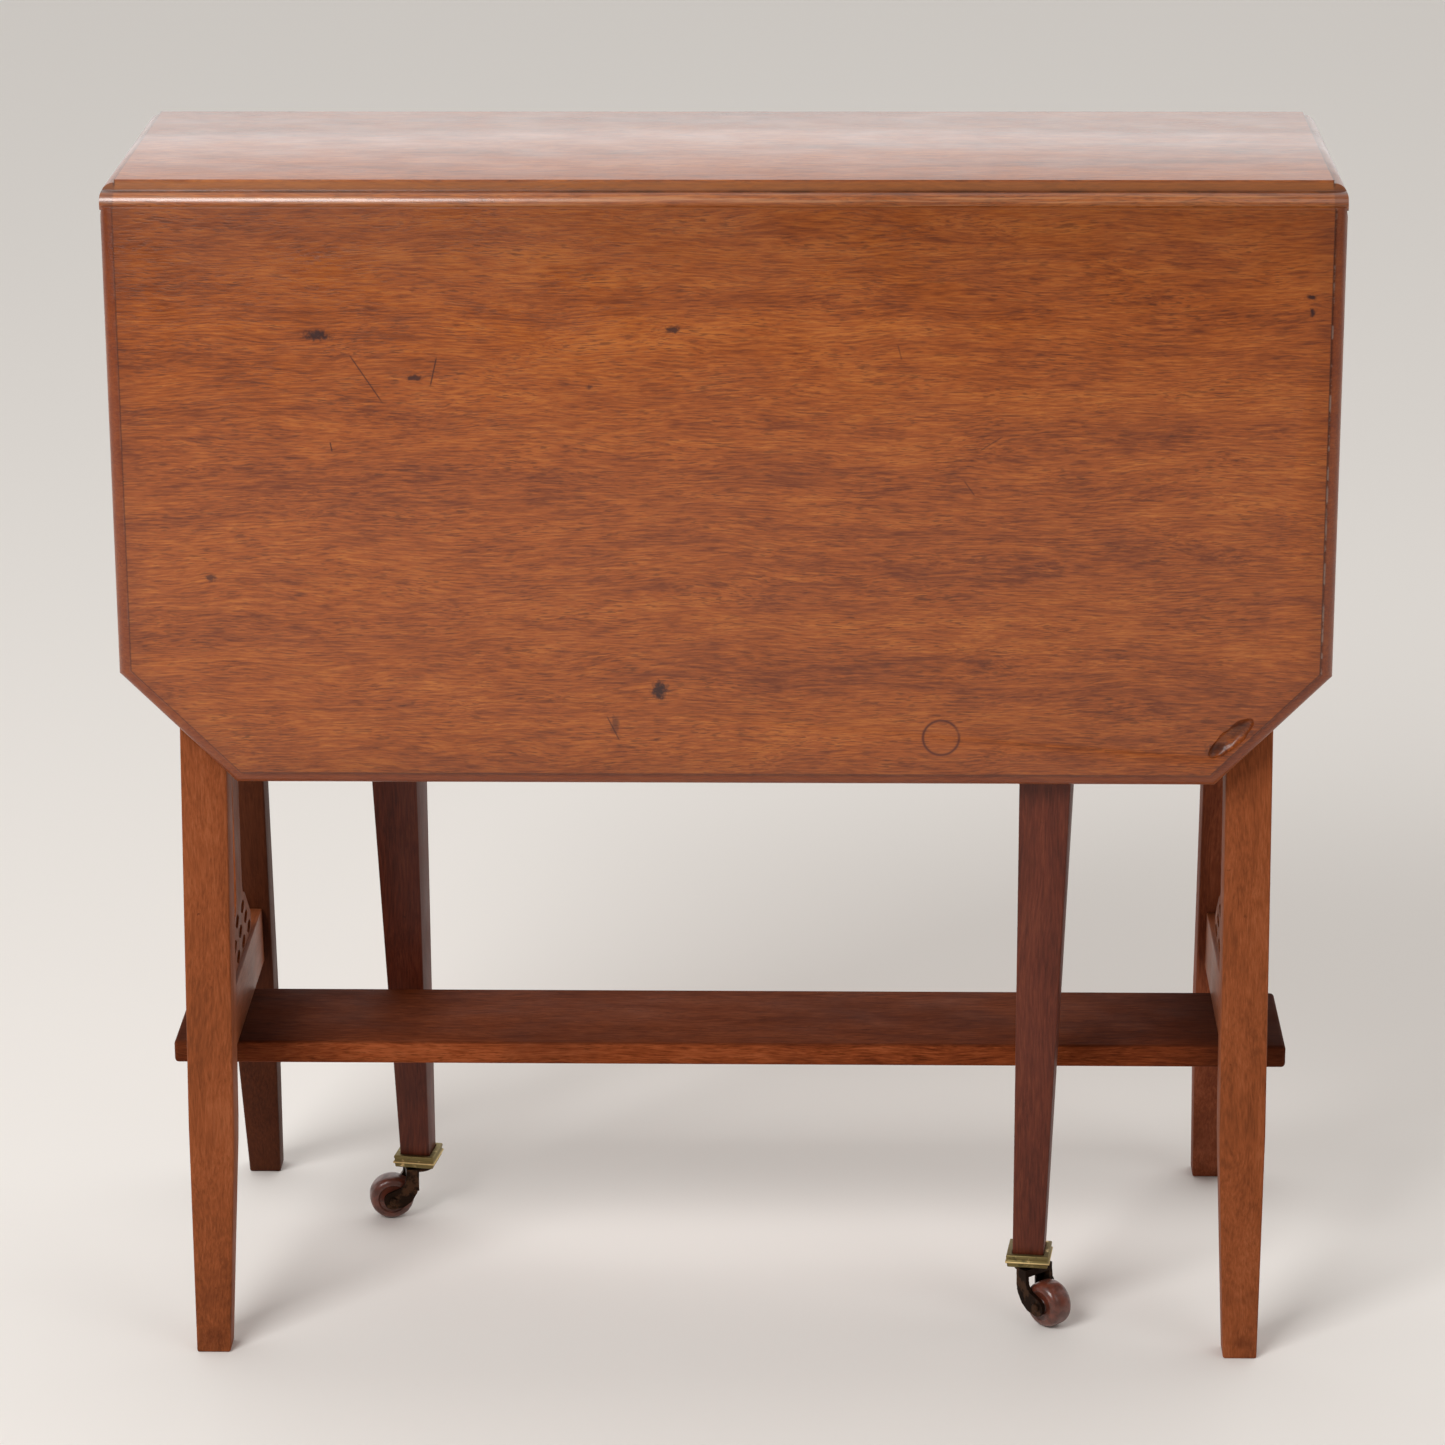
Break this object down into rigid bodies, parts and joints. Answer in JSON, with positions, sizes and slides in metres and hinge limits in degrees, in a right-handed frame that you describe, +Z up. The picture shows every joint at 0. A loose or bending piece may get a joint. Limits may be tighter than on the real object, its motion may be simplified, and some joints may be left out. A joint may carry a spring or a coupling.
{
  "type": "drop leaf table",
  "caption": "Narrow wooden table with deep hanging leaves on rule joints, splayed end frames, a low shelf and gate legs on brass cup castors.",
  "frame": {"origin": "on the floor, under the middle of the table", "axes": "+Z up, +X to the right along the top, -Y towards the front leaf"},
  "size_m": [0.7, 0.2942, 0.7],
  "materials": {
    "back_castor_axle": "aged steel",
    "back_castor_cup": "aged, worn bright at the rim",
    "back_castor_horn": "aged dark brown",
    "back_castor_wheel": "glossy brown glaze",
    "back_gate_arm": "polished dark mahogany",
    "back_gate_block": "thinly polished mahogany",
    "back_gate_pin": "aged steel",
    "back_leaf": "French-polished mahogany",
    "back_left_leg": "French-polished mahogany",
    "back_long_rail": "thinly polished mahogany",
    "back_right_leg": "French-polished mahogany",
    "back_swing_leg": "polished dark mahogany",
    "back_swivel_pin": "aged steel",
    "front_castor_axle": "aged steel",
    "front_castor_cup": "aged, worn bright at the rim",
    "front_castor_horn": "aged dark brown",
    "front_castor_wheel": "glossy brown glaze",
    "front_gate_arm": "polished dark mahogany",
    "front_gate_block": "thinly polished mahogany",
    "front_gate_pin": "aged steel",
    "front_leaf": "French-polished mahogany",
    "front_left_leg": "French-polished mahogany",
    "front_long_rail": "thinly polished mahogany",
    "front_right_leg": "French-polished mahogany",
    "front_swing_leg": "polished dark mahogany",
    "front_swivel_pin": "aged steel",
    "hinge_back_left_leaf_flap": "aged brass",
    "hinge_back_left_pin": "aged steel",
    "hinge_back_left_top_flap": "aged brass",
    "hinge_back_right_leaf_flap": "aged brass",
    "hinge_back_right_pin": "aged steel",
    "hinge_back_right_top_flap": "aged brass",
    "hinge_front_left_leaf_flap": "aged brass",
    "hinge_front_left_pin": "aged steel",
    "hinge_front_left_top_flap": "aged brass",
    "hinge_front_right_leaf_flap": "aged brass",
    "hinge_front_right_pin": "aged steel",
    "hinge_front_right_top_flap": "aged brass",
    "left_bearer": "thinly polished mahogany",
    "left_low_rail": "French-polished mahogany",
    "left_splat": "French-polished mahogany",
    "right_bearer": "thinly polished mahogany",
    "right_low_rail": "French-polished mahogany",
    "right_splat": "French-polished mahogany",
    "screw_back_left_a": "aged brass",
    "screw_back_left_b": "aged brass",
    "screw_back_left_c": "aged brass",
    "screw_back_right_a": "aged brass",
    "screw_back_right_b": "aged brass",
    "screw_back_right_c": "aged brass",
    "screw_front_left_a": "aged brass",
    "screw_front_left_b": "aged brass",
    "screw_front_left_c": "aged brass",
    "screw_front_right_a": "aged brass",
    "screw_front_right_b": "aged brass",
    "screw_front_right_c": "aged brass",
    "shelf": "French-polished mahogany",
    "top_panel": "French-polished mahogany"
  },
  "bodies": {
    "frame": {"top_panel": "top_panel", "shelf": "shelf", "left_low_rail": "left_low_rail", "left_splat": "left_splat", "left_bearer": "left_bearer", "front_left_leg": "front_left_leg", "back_left_leg": "back_left_leg", "right_low_rail": "right_low_rail", "right_splat": "right_splat", "right_bearer": "right_bearer", "front_right_leg": "front_right_leg", "back_right_leg": "back_right_leg", "front_long_rail": "front_long_rail", "front_gate_block": "front_gate_block", "front_gate_pin": "front_gate_pin", "hinge_front_left_top_flap": "hinge_front_left_top_flap", "hinge_front_left_pin": "hinge_front_left_pin", "screw_front_left_a": "screw_front_left_a", "hinge_front_right_top_flap": "hinge_front_right_top_flap", "hinge_front_right_pin": "hinge_front_right_pin", "screw_front_right_a": "screw_front_right_a", "back_long_rail": "back_long_rail", "back_gate_block": "back_gate_block", "back_gate_pin": "back_gate_pin", "hinge_back_left_top_flap": "hinge_back_left_top_flap", "hinge_back_left_pin": "hinge_back_left_pin", "screw_back_left_a": "screw_back_left_a", "hinge_back_right_top_flap": "hinge_back_right_top_flap", "hinge_back_right_pin": "hinge_back_right_pin", "screw_back_right_a": "screw_back_right_a"},
    "front_leaf_swing": {"front_leaf": "front_leaf", "hinge_front_left_leaf_flap": "hinge_front_left_leaf_flap", "screw_front_left_b": "screw_front_left_b", "screw_front_left_c": "screw_front_left_c", "hinge_front_right_leaf_flap": "hinge_front_right_leaf_flap", "screw_front_right_b": "screw_front_right_b", "screw_front_right_c": "screw_front_right_c"},
    "front_gate": {"front_gate_arm": "front_gate_arm", "front_swing_leg": "front_swing_leg", "front_castor_cup": "front_castor_cup", "front_swivel_pin": "front_swivel_pin"},
    "front_horn": {"front_castor_horn": "front_castor_horn", "front_castor_axle": "front_castor_axle"},
    "front_wheel": {"front_castor_wheel": "front_castor_wheel"},
    "back_leaf_swing": {"back_leaf": "back_leaf", "hinge_back_left_leaf_flap": "hinge_back_left_leaf_flap", "screw_back_left_b": "screw_back_left_b", "screw_back_left_c": "screw_back_left_c", "hinge_back_right_leaf_flap": "hinge_back_right_leaf_flap", "screw_back_right_b": "screw_back_right_b", "screw_back_right_c": "screw_back_right_c"},
    "back_gate": {"back_gate_arm": "back_gate_arm", "back_swing_leg": "back_swing_leg", "back_castor_cup": "back_castor_cup", "back_swivel_pin": "back_swivel_pin"},
    "back_horn": {"back_castor_horn": "back_castor_horn", "back_castor_axle": "back_castor_axle"},
    "back_wheel": {"back_castor_wheel": "back_castor_wheel"}
  },
  "joints": [
    {"name": "front_leaf_hinge", "type": "hinge", "parent": "frame", "child": "front_leaf_swing", "pos_m": [0, -0.1015, 0.6865], "axis": [-1, 0, 0], "range_deg": [0, 90]},
    {"name": "front_gate_hinge", "type": "hinge", "parent": "frame", "child": "front_gate", "pos_m": [0.0045, -0.0433, 0.65], "axis": [0, 0, -1], "range_deg": [-7.2, 0]},
    {"name": "front_castor_swivel", "type": "hinge", "parent": "front_gate", "child": "front_horn", "pos_m": [0.18176, -0.08631, 0.034], "axis": [0, 0, 1], "continuous": true},
    {"name": "front_wheel_spin", "type": "hinge", "parent": "front_horn", "child": "front_wheel", "pos_m": [0.19347, -0.09931, 0.014], "axis": [0.7431, 0.6691, 0], "continuous": true},
    {"name": "back_leaf_hinge", "type": "hinge", "parent": "frame", "child": "back_leaf_swing", "pos_m": [0, 0.1015, 0.6865], "axis": [1, 0, 0], "range_deg": [0, 90]},
    {"name": "back_gate_hinge", "type": "hinge", "parent": "frame", "child": "back_gate", "pos_m": [-0.019, 0.0433, 0.65], "axis": [0, 0, -1], "range_deg": [0, 5.5]},
    {"name": "back_castor_swivel", "type": "hinge", "parent": "back_gate", "child": "back_horn", "pos_m": [-0.19921, 0.06253, 0.034], "axis": [0, 0, 1], "continuous": true},
    {"name": "back_wheel_spin", "type": "hinge", "parent": "back_horn", "child": "back_wheel", "pos_m": [-0.21644, 0.05949, 0.014], "axis": [0.1736, -0.9848, 0], "continuous": true}
  ]
}
